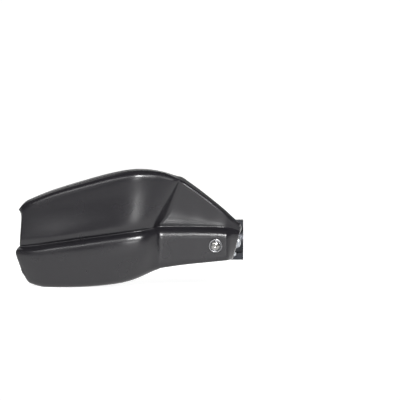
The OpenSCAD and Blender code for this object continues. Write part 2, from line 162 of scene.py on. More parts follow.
def makeStudio():
    # one round sheet: flat under the part, turned up all round far behind it
    segments, turnSteps = studio["floorSegments"], studio["turnSteps"]
    rings = [(reach, 0) for reach in studio["floorRings"]]
    flat = studio["floorRings"][-1]
    for i in range(1, turnSteps + 1):
        a = math.radians(90 * i / turnSteps)
        reach = flat + (studio["floorReach"] - flat) * math.sin(a)
        rings.append((reach, studio["floorRise"] * (1 - math.cos(a))))
    points = [(0, 0, 0)]
    for reach, rise in rings:
        for k in range(segments):
            a = 2 * math.pi * k / segments
            points.append((reach * math.cos(a), reach * math.sin(a), rise))
    faces = []
    for k in range(segments):
        after = (k + 1) % segments
        faces.append((0, 1 + k, 1 + after))
        for r in range(len(rings) - 1):
            low, high = 1 + r * segments, 1 + (r + 1) * segments
            faces.append((low + k, high + k, high + after, low + after))
    floor = meshObject("studioFloor", [Vector(p) / mm for p in points], faces, sharpAngle=80)
    floor.location.z = cadLow.z
    floor.data.materials.append(materials["paperSweep"])

    world = bpy.data.worlds.new("sky")
    bpy.context.scene.world = world
    world.use_nodes = True
    sky = world.node_tree.nodes["Background"]
    sky.inputs["Color"].default_value = linear(studio["skyColour"])
    sky.inputs["Strength"].default_value = studio["skyStrength"]

    for number, box in enumerate(studio["softboxes"], 1):
        place, target, width, height, watts, spread = box
        data = bpy.data.lights.new(f"softbox{number}", "AREA")
        data.shape = "RECTANGLE"
        data.size = width
        data.size_y = height
        data.energy = watts
        data.spread = math.radians(spread)
        lamp = newObject(f"softbox{number}", data)
        lamp.location = place
        lamp.rotation_euler = (Vector(place) - Vector(target)).to_track_quat("Z", "Y").to_euler()
    print("softboxes:", len(studio["softboxes"]))


# Materials

def addNode(tree, kind, settings=None, links=None):
    # settings are the node's own, or its sockets' values; links are socket: other node's output
    node = tree.nodes.new(kind)
    for name, value in (settings or {}).items():
        if isinstance(name, str) and hasattr(node, name):
            setattr(node, name, value)
        else:
            node.inputs[name].default_value = value
    for name, output in (links or {}).items():
        tree.links.new(output, node.inputs[name])
    return node


def newMaterial(name, settings):
    made = bpy.data.materials.new(name)
    made.use_nodes = True
    shader = made.node_tree.nodes["Principled BSDF"]
    for socket, value in settings.items():
        shader.inputs[socket].default_value = value
    return made, made.node_tree, shader


# For each slot: the finish, its colour and a second one in soft patches, their size in mm, the
# roughness from and to, then the size and the depth in mm of the fine relief
finishes = {
    # satin ABS with the faint ripple of the mould: broad soft highlights that run along the folds
    "moulded_shell": ("mouldedAbs", "#151417", "#161518", 30, 0.26, 0.275, 1.2, 0.0003),
    # powder coat: an orange peel that breaks the highlights along the strap's edges
    "coated_steel": ("powderCoat", "#16171a", "#1b1c1f", 18, 0.34, 0.44, 0.9, 0.02),
    # bead blasted and anodised: a dry, even sheen
    "anodised_clamp": ("blackAnodised", "#2a2b2e", "#343538", 9, 0.36, 0.46, 0.16, 0.006),
    # electrocoat on turned steel: deep black with a soft gloss
    "coated_weight": ("electroCoat", "#121315", "#18191b", 11, 0.24, 0.32, 0.7, 0.004),
    # bright stainless with fine handling marks
    "stainless_screw": ("brightStainless", "#8f8e8b", "#7d7c7a", 3, 0.16, 0.24, 0.3, 0.001),
    # lathe grooves round the washer's axis, drawn coarser than real ones so that they show: they
    # turn its light into fans
    "turned_washer": ("turnedSteel", "#8c8c8e", "#7a7a7c", 4, 0.2, 0.28, 0.35, 0.006),
    # dull black rubber with a dusty bloom
    "rubber": ("bushRubber", "#131313", "#232322", 4, 0.62, 0.85, 0.25, 0.02),
    # machined brass, browned where it was handled
    "insert_brass": ("machinedBrass", "#c29a55", "#9c7436", 3, 0.24, 0.4, 0.3, 0.005),
    # zinc plate: pale and slightly cloudy, with a hint of blue
    "zinc_steel": ("zincPlate", "#a9adb3", "#8c8f92", 4, 0.26, 0.42, 0.25, 0.006),
}
metals = ("anodised_clamp", "stainless_screw", "turned_washer", "insert_brass", "zinc_steel")
mouldedShine = 0.4             # the mould's texture takes a little off the plastic's reflection
patchEdges = (0.35, 0.65)      # between these the noise goes over from one colour to the other
materials = {}


def makeFinish(slot, name, colour, second, patch, smooth, rough, grain, depth):
    settings = {"Metallic": 1.0 if slot in metals else 0.0}
    if slot == "moulded_shell":
        settings["Specular IOR Level"] = mouldedShine
    made, tree, shader = newMaterial(name, settings)
    place = addNode(tree, "ShaderNodeTexCoord").outputs["Object"]
    cloud = addNode(tree, "ShaderNodeTexNoise", {"Scale": 1 / (patch * mm), "Detail": 4},
                    {"Vector": place})
    blend = addNode(tree, "ShaderNodeMapRange", {"From Min": patchEdges[0], "From Max": patchEdges[1]},
                    {"Value": cloud.outputs["Fac"]}).outputs["Result"]
    # sockets 6 and 7 are the two colours, and output 2 the mixed one
    tone = addNode(tree, "ShaderNodeMix", {"data_type": "RGBA", 6: linear(colour), 7: linear(second)},
                   {0: blend})
    tree.links.new(tone.outputs[2], shader.inputs["Base Color"])
    gloss = addNode(tree, "ShaderNodeMapRange", {"To Min": smooth, "To Max": rough}, {"Value": blend})
    tree.links.new(gloss.outputs["Result"], shader.inputs["Roughness"])
    if slot == "turned_washer":
        # the grooves' height follows the distance from the washer's axis, which is its local Z
        flat = addNode(tree, "ShaderNodeVectorMath", {"operation": "MULTIPLY", 1: (1, 1, 0)},
                       {0: place})
        reach = addNode(tree, "ShaderNodeVectorMath", {"operation": "LENGTH"},
                        {0: flat.outputs["Vector"]})
        turns = addNode(tree, "ShaderNodeMath",
                        {"operation": "MULTIPLY", 1: 2 * math.pi / (grain * mm)},
                        {0: reach.outputs["Value"]})
        height = addNode(tree, "ShaderNodeMath", {"operation": "SINE"},
                         {0: turns.outputs["Value"]}).outputs["Value"]
    else:
        height = addNode(tree, "ShaderNodeTexNoise", {"Scale": 1 / (grain * mm), "Detail": 3},
                         {"Vector": place}).outputs["Fac"]
    relief = addNode(tree, "ShaderNodeBump", {"Distance": depth * mm}, {"Height": height})
    tree.links.new(relief.outputs["Normal"], shader.inputs["Normal"])
    materials[slot] = made


def makeMaterials():
    for slot, finish in finishes.items():
        makeFinish(slot, *finish)
    # matt paper that glows toward the back, as one lit from behind
    made, tree, shader = newMaterial("paperSweep", {
        "Base Color": linear(studio["floorColour"]),
        "Roughness": studio["floorRoughness"],
        "Emission Color": linear("#ffffff"),
    })
    place = addNode(tree, "ShaderNodeTexCoord")
    split = addNode(tree, "ShaderNodeSeparateXYZ", None, {"Vector": place.outputs["Object"]})
    near, far = studio["glowSpan"]
    dim, bright = studio["floorGlow"]
    glow = addNode(tree, "ShaderNodeMapRange",
                   {"From Min": near, "From Max": far, "To Min": dim, "To Max": bright},
                   {"Value": split.outputs["Y"]})
    tree.links.new(glow.outputs["Result"], shader.inputs["Emission Strength"])
    materials["paperSweep"] = made
    print("materials:", len(materials))


# The moulded shell: lines of the form seen from the front, as (x, z), and its distances in front
# of the bar, as (x, distance)
shellLines = {
    "topFold": [(-255, 41), (-247, 44.8), (-240, 47.6), (-215, 57.2), (-176, 68.6), (-145, 76.8),
                (-122, 81.2), (-105, 81.6), (-90, 80), (-70.5, 75.6)],
    "diagonal": [(-66, 74.8), (-45, 60.2), (-16, 37.8), (-8.4, 31.2), (4.6, 19.8)],
    "panelLow": [(-257, 7), (-210, 13), (-150, 21.6), (-114, 27.4), (-95.6, 31)],
    "valley": [(-257.4, -3.4), (-239.4, -1.4), (-210, 3.4), (-150, 12.4), (-114, 17.6), (-97.4, 20)],
    "crest": [(-263, -8.2), (-239.4, -5.4), (-210, -0.2), (-150, 8.6), (-114, 13.2), (-93, 14.6)],
    "bottomFold": [(-254.5, -42.2), (-240, -45), (-222, -45.8), (-176, -44.4), (-141, -41),
                   (-123.6, -37.2), (-109.4, -31.8), (-93, -24)],
    "facetTop": [(-82.2, 35), (-64, 33.2), (-42, 30.4), (-24, 26.8), (-8.4, 23.8), (5.6, 18.4)],
    "groove": [(-92.6, 23), (-60, 23), (-24, 21.8), (-8.4, 20.6), (5.2, 16.4)],
    "armCrest": [(-91, 14), (-60, 14.6), (-42, 14.8), (-8.4, 13.8), (4, 11)],
    "armBottom": [(-91, -22.8), (-61.9, -18.8), (-39, -16.4), (-8.4, -13.4), (-2, -12.6)],
    "topDepth": [(-255, 66), (-240, 72.6), (-215, 80), (-180, 87.4), (-145, 93.4), (-128, 95),
                 (-116, 94.6), (-100, 90.6), (-85, 86), (-70.5, 82)],
    "midDepth": [(-256, 67.6), (-240, 73.8), (-215, 80.4), (-180, 87.4), (-145, 93.2), (-128, 94.8),
                 (-116, 94.6), (-102, 91.4), (-83, 84.6)],
    "lowDepth": [(-257, 72), (-240, 79), (-215, 86.6), (-180, 92), (-145, 96.2), (-126, 97), (-112, 95),
                 (-95.6, 88.6)],
    "crestDepth": [(-263, 74.2), (-240, 87), (-215, 94.4), (-180, 99.8), (-145, 102.6), (-124, 102),
                   (-108, 98.2), (-93, 85)],
    "floorDepth": [(-92.6, 73), (-66, 72.6), (-45, 72.6), (-8.4, 71), (5.6, 62)],
    "topSpread": [(-255, 7), (-247, 8.4), (-215, 9), (-150, 10.2), (-110, 9.4), (-85, 7.8), (-66, 6.4),
                  (-20, 5.6), (4.6, 4.6)],
    "topDeep": [(-255, 0.6), (-235, 0.9), (-200, 1), (-90, 1), (-60, 0.8), (-20, 0.5), (4.6, 0.3)],
}

shell = {
    "wall": 3,
    # Returns round the edge: reach of the fold, spread of the rim outwards, and depth. What changes
    # along one goes from its first value to its second between two places along x or z. The top's
    # spread and the share of its depth are lines of the form
    "topReturn": {"reach": (8, 3), "tightens": (-85, -65), "depth": 26},
    "bottomReturn": {"reach": (3, 6), "spread": (2.5, 5), "widens": (-252, -232), "depth": 22,
                     "armShare": 0.55, "shallows": (-110, -70)},
    "armReturn": {"reach": 1.6, "spread": (4.4, 1.6), "narrows": (22, 12), "depth": 8},
    "outerReturn": {"reach": 3, "topShare": 0.6, "notch": 20, "spread": (2, 5.4), "widens": (30, 38),
                    "lowSpread": 2.5, "turnsLow": (-4, -10)},
    "insideReach": 0.4,        # the least reach of a fold on its inner side
    "topSoft": 2,              # how far below the top fold its rounding starts
    "topSoftEnds": ((-255, -240), (-107, -70)),    # where that grows, and where it runs out
    "cornerRound": (2, 10),    # of the outer end's upper and lower corner
    "undercut": (1.6, 4),      # how far the panel turns in above the valley, and in it
    "undercutShare": 0.7,      # of the way down to the valley, where the first of them is reached
    "bellyTuck": (7, 3),       # how far the bottom fold lies behind the crest, and at the outer end
    "bellyEase": 0.5,          # how far the belly's middle lies behind the crest
    "topLift": 3,              # how far the recess's top edge stands out at the ridge's foot
    "facetLift": 2.7,          # how far the facet stands out over the groove there
    "grooveEdges": (1.4, -0.8),    # heights of the groove's upper and lower edge over its line
    # shares of the main panel: the end that turns round, and where it starts to turn over its ridge
    "outerEnd": 0.05,
    "ridgeStart": 0.97,
    # shares of the ridge's side: the end of its upper turn, and the start of its lower one
    "ridgeSide": (0.45, 0.6),
    # shares of the recess and the arm: the end of the ridge's foot, and the arm's turn from and to
    "footEnd": 0.06,
    "turnStart": 0.965,
    "turnEnd": 1.4,
    # columns of the grid in each stretch
    "columns": {"outerEnd": 14, "panel": 110, "ridge": 8, "recess": 50, "turn": 10, "tail": 6},
    "strapFront": 72.5,        # the strap's front face, in front of the bar
    "armFront": 81.5,          # the arm's face
    "turnX": -8.4,             # where the arm turns back
    "turnSlope": 1.15,
    # each corner of a column: how much of the side above and below it takes, and its steps
    "corners": [(0.48, 0.48, 9), (0.45, 0.45, 7), (0.45, 0.45, 6), (0.4, 0.3, 7), (0.5, 0.42, 10),
                (0.48, 0.48, 9)],
    "straightSteps": 4,
    "foldSteps": 7,            # of a return's fold
    "sideSteps": 4,            # and of its straight side
    "rimRound": 0.5,
    "sharpAngle": 40,          # degrees above which an edge shows
    # place of each boss for a rear screw, and how far forward it reaches
    "bosses": [(-207, 4, 83), (-140, -2, 100.5)],
    "bossRadius": 6,
    "bossGap": 3,              # between the strap and the boss, for the rubber pad
    "insertRadius": 4,
    "insertLength": 6.5,
    "screwPlace": (-23.3, -0.7),
    "screwHole": (60, 100, 5.05),    # from and to in front of the bar, and its radius
}


def slopeAt(line, i):
    a, b = line[max(0, i - 1)], line[min(len(line) - 1, i + 1)]
    return (b[1] - a[1]) / (b[0] - a[0])


def along(name, x):
    # smooth curve through a line's points
    line = shellLines[name]
    i = 0
    while i < len(line) - 2 and x > line[i + 1][0]:
        i += 1
    (x0, a), (x1, b) = line[i], line[i + 1]
    h = x1 - x0
    t = (x - x0) / h
    lean = slopeAt(line, i) * t * (1 - t) ** 2 - slopeAt(line, i + 1) * t * t * (1 - t)
    return a * (1 + 2 * t) * (1 - t) ** 2 + b * t * t * (3 - 2 * t) + h * lean


def armDepth(x):
    return shell["armFront"] - shell["turnSlope"] * max(0, x - shell["turnX"])


def outerX(name, s):
    line = shellLines[name]
    return mix(line[0][0], line[-1][0], s)


def topSoftness(x):
    # the top fold's rounding is widest along the main panel and runs out at its two ends
    start, end = shell["topSoftEnds"]
    return shell["topSoft"] * share(x, *start) * (1 - share(x, *end))


def outerColumn(s):
    # the main panel, the valley and the belly: s is 0 at the outer end and 1 at the ridge
    xTop, xMid, xLow = outerX("topFold", s), outerX("midDepth", s), outerX("panelLow", s)
    xValley, xCrest, xBottom = outerX("valley", s), outerX("crest", s), outerX("bottomFold", s)
    pulledIn = 1 - math.sin(math.pi / 2 * min(1, s / shell["outerEnd"]))
    zTop = along("topFold", xTop) - shell["cornerRound"][0] * pulledIn - topSoftness(xTop)
    zBottom = along("bottomFold", xBottom) + shell["cornerRound"][1] * pulledIn
    zLow, zValley, zCrest = along("panelLow", xLow), along("valley", xValley), along("crest", xCrest)
    lowDepth, crestDepth = along("lowDepth", xLow), along("crestDepth", xCrest)
    above = shell["undercutShare"]
    # the bottom fold follows the crest, and near the ridge it goes over to the arm's face
    bottomDepth = along("crestDepth", mix(xCrest, xBottom, 0.5)) - mix(*shell["bellyTuck"], pulledIn)
    return [Vector(p) for p in (
        (xTop, along("topDepth", xTop), zTop),
        (xMid, along("midDepth", xMid), mix(zTop, zLow, 0.5)),
        (xLow, lowDepth, zLow),
        (mix(xLow, xValley, above), lowDepth - shell["undercut"][0], mix(zLow, zValley, above)),
        (xValley, lowDepth - shell["undercut"][1], zValley),
        (xCrest, crestDepth, zCrest),
        (mix(xCrest, xBottom, 0.4), crestDepth - shell["bellyEase"], mix(zCrest, zBottom, 0.5)),
        (xBottom, mix(bottomDepth, shell["armFront"], s ** 3), zBottom))]


def innerX(name, s):
    line = shellLines[name]
    turn = shell["turnX"]
    return mix(line[0][0], turn, s) if s < 1 else mix(turn, line[-1][0], s - 1)


def innerColumn(s):
    # the recess and the arm: s is 0 at the ridge's foot, 1 where the arm turns back, 2 at its end
    xTop, xFacet, xGroove = innerX("diagonal", s), innerX("facetTop", s), innerX("groove", s)
    xCrest, xBottom = innerX("armCrest", s), innerX("armBottom", s)
    zTop, zFacet, zGroove = along("diagonal", xTop), along("facetTop", xFacet), along("groove", xGroove)
    zCrest, zBottom = along("armCrest", xCrest), along("armBottom", xBottom)
    lip = max(0, 1 - s)        # the facet stands out most at the ridge and runs out along the arm
    groove = along("floorDepth", xGroove)
    above, below = shell["grooveEdges"]
    crestDepth, bottomDepth = armDepth(xCrest), armDepth(mix(xBottom, xCrest, 0.6))
    return [Vector(p) for p in (
        (xTop, along("floorDepth", xTop) + shell["topLift"] * lip, zTop),
        (mix(xTop, xFacet, 0.5), along("floorDepth", mix(xTop, xFacet, 0.5)), mix(zTop, zFacet, 0.5)),
        (xFacet, along("floorDepth", xFacet), zFacet),
        (xGroove, groove + shell["facetLift"] * lip, zGroove + above),
        (xGroove, groove, zGroove + below),
        (xCrest, crestDepth, zCrest),
        (mix(xCrest, xBottom, 0.5), mix(crestDepth, bottomDepth, 0.5), mix(zCrest, zBottom, 0.5)),
        (xBottom, bottomDepth, zBottom))]


def turned(a, b, c, t):
    # a point on the rounding that runs from a to c under the corner b
    return a * (1 - t) ** 2 + b * 2 * t * (1 - t) + c * t * t


def mixedColumn(a, b, t):
    return [mix(p, q, t) for p, q in zip(a, b)]


def turnedColumns(a, b, c, steps, first):
    return [[turned(p, q, r, i / steps) for p, q, r in zip(a, b, c)] for i in range(first, steps + 1)]


def shellColumns():
    count = shell["columns"]
    end, start = shell["outerEnd"], shell["ridgeStart"]
    footEnd, turnStart, turnEnd = shell["footEnd"], shell["turnStart"], shell["turnEnd"]
    ridge, foot = outerColumn(1), innerColumn(0)
    made = [outerColumn(end * i / count["outerEnd"]) for i in range(count["outerEnd"] + 1)]
    made += [outerColumn(mix(end, start, i / count["panel"])) for i in range(1, count["panel"] + 1)]
    # the ridge's side falls from the ridge to its foot, with a straight stretch between the two turns
    over, under = [mixedColumn(ridge, foot, t) for t in shell["ridgeSide"]]
    made += turnedColumns(outerColumn(start), ridge, over, count["ridge"], 1)
    made += turnedColumns(under, foot, innerColumn(footEnd), count["ridge"], 0)
    made += [innerColumn(mix(footEnd, turnStart, i / count["recess"]))
             for i in range(1, count["recess"] + 1)]
    made += turnedColumns(innerColumn(turnStart), innerColumn(1), innerColumn(turnEnd), count["turn"], 1)
    made += [innerColumn(mix(turnEnd, 2, i / count["tail"])) for i in range(1, count["tail"] + 1)]
    return made


def shellRow(column):
    # one column from the top fold to the bottom fold, with its corners rounded
    made, last = [column[0]], column[0]
    steps = shell["straightSteps"]
    for i in range(1, len(column)):
        above, below, turns = shell["corners"][i - 1] if i < len(column) - 1 else (0, 0, 0)
        start = mix(column[i], column[i - 1], above)
        made += [mix(last, start, k / steps) for k in range(1, steps + 1)]
        if turns:
            last = mix(column[i], column[i + 1], below)
            made += [turned(start, column[i], last, k / turns) for k in range(1, turns + 1)]
    return made


def foldAt(i, j, x, z, lastColumn, lastRow):
    # the return at a point of the edge: reach of its fold, its spread outwards, its depth
    top, bottom = shell["topReturn"], shell["bottomReturn"]
    arm, outer = shell["armReturn"], shell["outerReturn"]
    if j == 0:                 # the top, with a tighter fold along the diagonal
        soft = topSoftness(x)
        reach = mix(*top["reach"], share(x, *top["tightens"])) + soft
        return reach, along("topSpread", x) + soft, top["depth"] * along("topDeep", x)
    if i == lastColumn:        # the arm's inner end
        return arm["reach"], mix(*arm["spread"], share(z, *arm["narrows"])), arm["depth"]
    if j == lastRow:           # the bottom, shallower under the arm
        wide = share(x, *bottom["widens"])
        depth = bottom["depth"] * mix(1, bottom["armShare"], share(x, *bottom["shallows"]))
        return mix(*bottom["reach"], wide), mix(*bottom["spread"], wide), depth
    depth, spread = top["depth"] * outer["topShare"], outer["spread"]
    if z > outer["notch"]:     # the outer end above its notch
        return outer["reach"], mix(*spread, share(z, *outer["widens"])), depth
    low = share(z, *outer["turnsLow"])    # and below it
    return outer["reach"], mix(spread[0], outer["lowSpread"], low), mix(depth, bottom["depth"], low)


def makeShellWall():
    grid = [[Vector((p.x, -p.y, p.z)) for p in shellRow(c)] for c in shellColumns()]
    columns, rows = len(grid), len(grid[0])
    lastColumn, lastRow = columns - 1, rows - 1
    wall, foldSteps, sideSteps = shell["wall"], shell["foldSteps"], shell["sideSteps"]

    def inward(i, j):
        a, b = clamped(i, 1, lastColumn - 1), clamped(j, 1, lastRow - 1)
        return (grid[a + 1][b] - grid[a - 1][b]).cross(grid[a][b + 1] - grid[a][b - 1]).normalized()

    outer = [grid[i][j] for i in range(columns) for j in range(rows)]
    inner = [grid[i][j] + wall * inward(i, j) for i in range(columns) for j in range(rows)]
    # once round the shell's edge: top, inner end, bottom, outer end
    edge = [(i, 0) for i in range(columns)]
    edge += [(lastColumn, j) for j in range(1, rows)]
    edge += [(i, lastRow) for i in range(lastColumn - 1, -1, -1)]
    edge += [(0, j) for j in range(lastRow - 1, 0, -1)]
    around = len(edge)

    def edgePoint(k):
        i, j = edge[k % around]
        return grid[i][j]

    def section(k):
        # outer face of the return, its rim, and its inner face back to the wall
        i, j = edge[k]
        v = edgePoint(k)
        run = edgePoint(k + 1) - edgePoint(k - 1)
        out = Vector((-run.z, 0, run.x)).normalized()
        reach, spread, depth = foldAt(i, j, v.x, v.z, lastColumn, lastRow)
        normal = inward(i, j)
        ahead = (out - out.dot(normal) * normal).normalized()
        corner = v + reach * ahead
        tip = v + spread * out + Vector((0, depth, 0))
        back = (tip - corner).normalized()
        side = (back - back.dot(ahead) * ahead).normalized()
        bendAngle = math.acos(clamped(back.dot(ahead), -1, 1))
        cut = wall * math.tan(bendAngle / 2)
        inCorner = corner + wall * side - cut * ahead
        across = -math.sin(bendAngle) * ahead + math.cos(bendAngle) * side
        start = corner + reach * back
        inStart = inCorner + max(shell["insideReach"], reach - cut) * back
        r = shell["rimRound"]
        bite = 0.3 * r         # how far the middle of that rounding lies in from each face
        made = [turned(v, corner, start, t / foldSteps) for t in range(1, foldSteps + 1)]
        made += [mix(start, tip - r * back, t / sideSteps) for t in range(1, sideSteps + 1)]
        made += [tip - bite * back + bite * across, tip + r * across,
                 tip + (wall - r) * across, tip - bite * back + (wall - bite) * across]
        inTip = tip - r * back + wall * across
        made += [mix(inTip, inStart, t / sideSteps) for t in range(sideSteps)]
        made += [turned(v + wall * normal, inCorner, inStart, t / foldSteps)
                 for t in range(foldSteps, 0, -1)]
        return made

    sections = [section(k) for k in range(around)]
    ring = len(sections[0])
    points = outer + inner + [p for s in sections for p in s]
    count = columns * rows

    def ringIndex(k, m):
        k %= around
        i, j = edge[k]
        if m < 0:
            return i * rows + j
        if m >= ring:
            return count + i * rows + j
        return 2 * count + k * ring + m

    faces = []
    for i in range(lastColumn):
        for j in range(lastRow):
            a, b, c, d = i * rows + j, (i + 1) * rows + j, (i + 1) * rows + j + 1, i * rows + j + 1
            faces.append((d, c, b, a))
            faces.append((count + a, count + b, count + c, count + d))
    for k in range(around):
        for m in range(-1, ring):
            faces.append((ringIndex(k + 1, m), ringIndex(k + 1, m + 1),
                          ringIndex(k, m + 1), ringIndex(k, m)))
    return meshObject("moulded_shell", points, faces, shell["sharpAngle"])


def rod(name, x, z, near, far, radius, segments=64):
    # a round rod along the view, from one distance in front of the bar to another
    points, faces = [], []
    for distance in (near, far):
        for k in range(segments):
            a = 2 * math.pi * k / segments
            points.append((x + radius * math.cos(a), -distance, z + radius * math.sin(a)))
    for k in range(segments):
        after = (k + 1) % segments
        faces.append((k, after, segments + after, segments + k))
    faces.append(tuple(range(segments)))
    faces.append(tuple(range(2 * segments - 1, segments - 1, -1)))
    return meshObject(name, points, faces)


def makeShell():
    made = makeShellWall()
    back = shell["strapFront"] + shell["bossGap"]
    for x, z, top in shell["bosses"]:
        combine(made, rod("boss", x, z, back, top, shell["bossRadius"]), "UNION")
        hole = rod("insertHole", x, z, back - 1, back + shell["insertLength"], shell["insertRadius"])
        combine(made, hole, "DIFFERENCE")
    x, z = shell["screwPlace"]
    combine(made, rod("screwHole", x, z, *shell["screwHole"]), "DIFFERENCE")
    made.data.shade_smooth()
    made.data.set_sharp_from_angle(angle=math.radians(shell["sharpAngle"]))
    finished(made, "shell", "moulded_shell")
    print("shell:", len(made.data.polygons), "faces")


# Pieces turned on a lathe, and fasteners

def facing(origin, forward):
    # a place in mm whose local Z looks along forward; a hexagon's corner lies along local X
    ahead = Vector(forward)
    across = Vector((1, 0, 0)) if abs(ahead.y) > 0.5 else Vector((0, 0, 1))
    place = Matrix((across, ahead.cross(across), ahead)).transposed().to_4x4()
    place.translation = Vector(origin) * mm
    return place


def lathe(name, place, profile, segments=64, shaped=None, sharpAngle=35):
    # turns (radius, height) round local Z; a profile that starts off the axis closes to a ring
    points = []
    for r, z in profile:
        for k in range(segments):
            a = 2 * math.pi * k / segments
            reach = shaped(r, z, k / segments) if shaped else r
            points.append((reach * math.cos(a), reach * math.sin(a), z))
    rows = len(profile)
    faces = []
    for i in range(rows if profile[0][0] > 0 else rows - 1):
        low, high = i * segments, (i + 1) % rows * segments
        for k in range(segments):
            after = (k + 1) % segments
            faces.append((low + k, low + after, high + after, high + k))
    made = meshObject(name, points, faces, sharpAngle)
    made.matrix_world = place
    return made


def softened(corners, radius, steps=4):
    # a closed profile with its corners rounded
    made = []
    for i, corner in enumerate(corners):
        here = Vector(corner)
        ends = []
        for other in (corners[i - 1], corners[(i + 1) % len(corners)]):
            side = Vector(other) - here
            ends.append(here + side.normalized() * min(radius, 0.45 * side.length))
        made += [turned(ends[0], here, ends[1], t / steps) for t in range(steps + 1)]
    return [tuple(p) for p in made]


def ring(inner, outer, length, radius=0.3):
    return softened([(inner, 0), (outer, 0), (outer, length), (inner, length)], radius)


def finished(made, node, slot):
    made.data.materials.clear()
    made.data.materials.append(materials[slot])
    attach(made, "root")
    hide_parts(node)


fastener = {
    "pitch": {6: 1.0, 8: 1.25},
    "threadDepth": 0.6,        # of the pitch
    "threadFlats": (0.12, 0.75),    # shares of half a pitch: end of the crest, start of the root
    "rowsPerTurn": 10,
    # shares of the thread's diameter
    "headRadius": {"button": 0.875, "socket": 0.8},
    "headHeight": {"button": 0.55, "socket": 1},
    "headBall": 1.5,           # radius of the button head's dome
    "socketFlats": {"button": 0.66, "socket": 0.78},
    "socketFloor": {"button": 0.08, "socket": 0.5},
    "nutFlats": 1.65,
    "nutFlange": 1.15,
    "collarRadius": 0.72,
    "knurlSpan": (0.28, 0.82),
    "knurl": 0.14,             # depth in mm, and its teeth and gaps round the head
    "knurlSteps": 96,
    # node, place under the head, way the head faces, diameter, length, thread's length, head, slot
    "screws": [
        ("front_screw", (-23.3, -82.5, -0.7), (0, -1, 0), 6, 21, 15, "button", "stainless_screw"),
        ("outer_shell_screw", (-207, -66.9, 4), (0, 1, 0), 6, 14.1, 12, "button", "zinc_steel"),
        ("inner_shell_screw", (-140, -66.9, -2), (0, 1, 0), 6, 14.1, 12, "button", "zinc_steel"),
        ("upper_clamp_screw", (0, 9, 17.15), (0, 1, 0), 6, 17, 13, "socket", "zinc_steel"),
        ("lower_clamp_screw", (0, 9, -17.15), (0, 1, 0), 6, 17, 13, "socket", "zinc_steel"),
        ("clamp_bolt", (3.6, -29.6, 0), (1, 0, 0), 8, 24.2, 14, "button", "zinc_steel"),
        ("bar_end_bolt", (-250.6, 0, 0), (-1, 0, 0), 8, 51.6, 26, "button", "zinc_steel"),
    ],
    # node, place of the seat, way the head lies, diameter, height, height of the lock collar
    "nuts": [
        ("front_nut", (-23.3, -68.5, -0.7), (0, -1, 0), 6, 6, 0),
        ("clamp_locknut", (-11.1, -29.6, 0), (1, 0, 0), 8, 8, 1.8),
    ],
}


def headProfile(kind, d):
    r, height = fastener["headRadius"][kind] * d, fastener["headHeight"][kind] * d
    if kind == "socket":
        return [(r - 0.2, 0), (r, 0.2), (r, 0.25 * d), (r, 0.3 * d), (r, 0.8 * d), (r, height - 0.7),
                (r - 0.2, height - 0.25), (r - 0.7, height), (0, height)]
    ball = fastener["headBall"] * d
    sunk = ball - height
    rim = math.sqrt(ball * ball - r * r) - sunk
    profile = [(r - 0.2, 0), (r, 0.2), (r, rim - 0.35), (r - 0.06, rim - 0.1)]
    widest, steps = 0.94 * math.asin(r / ball), 16    # the dome starts just inside the rim
    for k in range(steps):
        a = widest * (1 - k / steps)
        profile.append((ball * math.sin(a), ball * math.cos(a) - sunk))
    return profile + [(0, height)]


def makeScrew(node, origin, forward, d, length, threadLength, kind, slot):
    pitch = fastener["pitch"][d]
    deep = fastener["threadDepth"] * pitch
    threadTop = threadLength - length
    rows = round(threadLength / pitch * fastener["rowsPerTurn"])
    steps = fastener["knurlSteps"] if kind == "socket" else 64
    knurlLow, knurlHigh = [part * d for part in fastener["knurlSpan"]]
    place = facing(origin, forward)

    def shaped(r, z, turn):
        # the knurl on the head's side, and the thread's spiral below it
        if kind == "socket" and knurlLow < z < knurlHigh:
            return r - fastener["knurl"] * (round(turn * steps) % 2)
        if z > threadTop or r == 0:
            return r
        wave = abs(2 * ((z / pitch - turn) % 1) - 1)
        fade = clamped((threadTop - z) / pitch, 0, 1)
        return min(r, d / 2 - deep * fade * share(wave, *fastener["threadFlats"]))

    profile = [(0, -length), (d / 2 - deep, -length), (d / 2, deep - length)]
    profile += [(d / 2, mix(deep - length, threadTop, i / rows)) for i in range(1, rows + 1)]
    profile += [(d / 2, -0.3), (d / 2 + 0.2, 0)] + headProfile(kind, d)
    made = lathe(node, place, profile, steps, shaped)
    r = fastener["socketFlats"][kind] * d / math.sqrt(3)
    floor, top = fastener["socketFloor"][kind] * d, fastener["headHeight"][kind] * d
    socket = [(0, floor - 0.4 * r), (r, floor), (r, 2 * d), (0, 2 * d)]
    combine(made, lathe("socket", place, socket, segments=6), "DIFFERENCE")
    rim = [(0, top - 0.5 * r), (r + 0.4, top + 0.1), (0, 2 * d)]
    combine(made, lathe("socketEdge", place, rim, segments=48), "DIFFERENCE")
    finished(made, node, slot)


